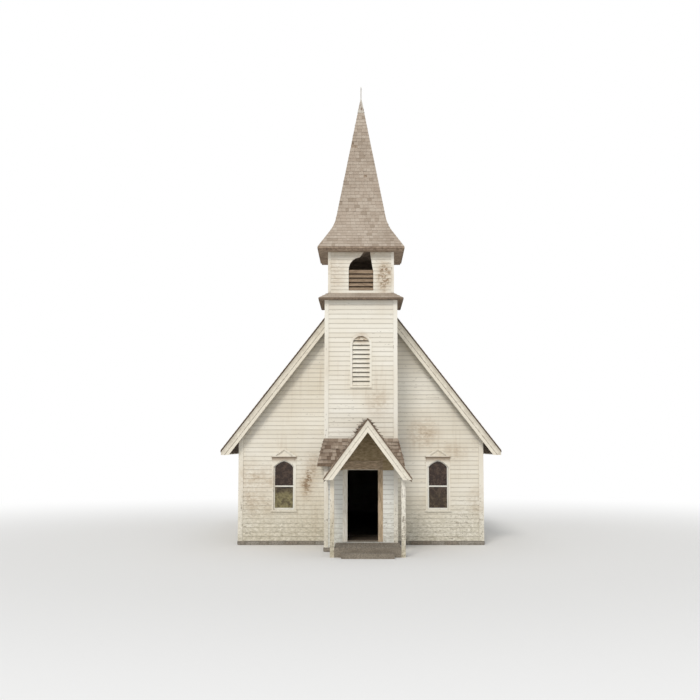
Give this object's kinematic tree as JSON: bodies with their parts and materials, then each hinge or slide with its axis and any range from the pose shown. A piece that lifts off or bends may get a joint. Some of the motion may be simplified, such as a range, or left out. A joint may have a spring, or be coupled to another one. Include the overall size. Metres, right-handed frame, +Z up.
{
  "type": "small timber chapel",
  "caption": "White clapboard chapel: a gabled nave with a front tower, gabled porch, arched belfry and tall bell-cast shingled steeple.",
  "frame": {"origin": "on the ground, on the nave centre line, at the outer face of the nave front gable wall", "axes": "+Z up, +Y into the building towards its back gable, +X to the right as seen from the front; the tower and porch stand towards -Y"},
  "size_m": [8.32, 15.147, 13.65],
  "materials": {
    "clapboard_paint": "old off-white paint on clapboards, stained and flaking",
    "trim_paint": "old white paint on planed boards, worn at the edges",
    "bare_timber": "bare weathered boards",
    "floor_timber": "worn floor boards",
    "roof_shingle": "weathered grey-brown wood shingles",
    "window_glass": "old dark window glass",
    "foundation_stone": "rough rubble stone",
    "finial_metal": "dull weathered iron"
  },
  "bodies": {
    "root": {"back_gable_wall": "clapboard_paint", "back_rake_boards": "trim_paint", "belfry_back_wall": "clapboard_paint", "belfry_corner_boards": "trim_paint", "belfry_cornice": "bare_timber", "belfry_deck": "bare_timber", "belfry_front_wall": "clapboard_paint", "belfry_louvres": "bare_timber", "belfry_side_walls": "clapboard_paint", "belfry_skirt_roof": "roof_shingle", "corner_boards": "trim_paint", "door_casing": "trim_paint", "door_threshold": "bare_timber", "eave_fascias": "trim_paint", "foundation_ends": "foundation_stone", "foundation_sides": "foundation_stone", "front_gable_wall": "clapboard_paint", "front_rake_boards": "trim_paint", "left_roof_slope": "roof_shingle", "left_side_wall": "clapboard_paint", "louvre_frame": "trim_paint", "louvre_slats": "trim_paint", "lower_skirt_roof": "roof_shingle", "nave_floor": "floor_timber", "porch_beams": "trim_paint", "porch_floor": "bare_timber", "porch_left_roof": "roof_shingle", "porch_posts": "trim_paint", "porch_rake_boards": "trim_paint", "porch_right_roof": "roof_shingle", "porch_sleepers": "bare_timber", "porch_step": "bare_timber", "ridge_cap": "roof_shingle", "right_roof_slope": "roof_shingle", "right_side_wall": "clapboard_paint", "steeple_finial": "finial_metal", "steeple_roof": "roof_shingle", "tower_corner_boards": "trim_paint", "tower_floor": "floor_timber", "tower_foundation": "foundation_stone", "tower_front_wall": "clapboard_paint", "tower_left_wall": "clapboard_paint", "tower_right_wall": "clapboard_paint", "window_casings": "trim_paint", "window_panes": "window_glass", "window_sashes": "trim_paint"}
  },
  "joints": []
}
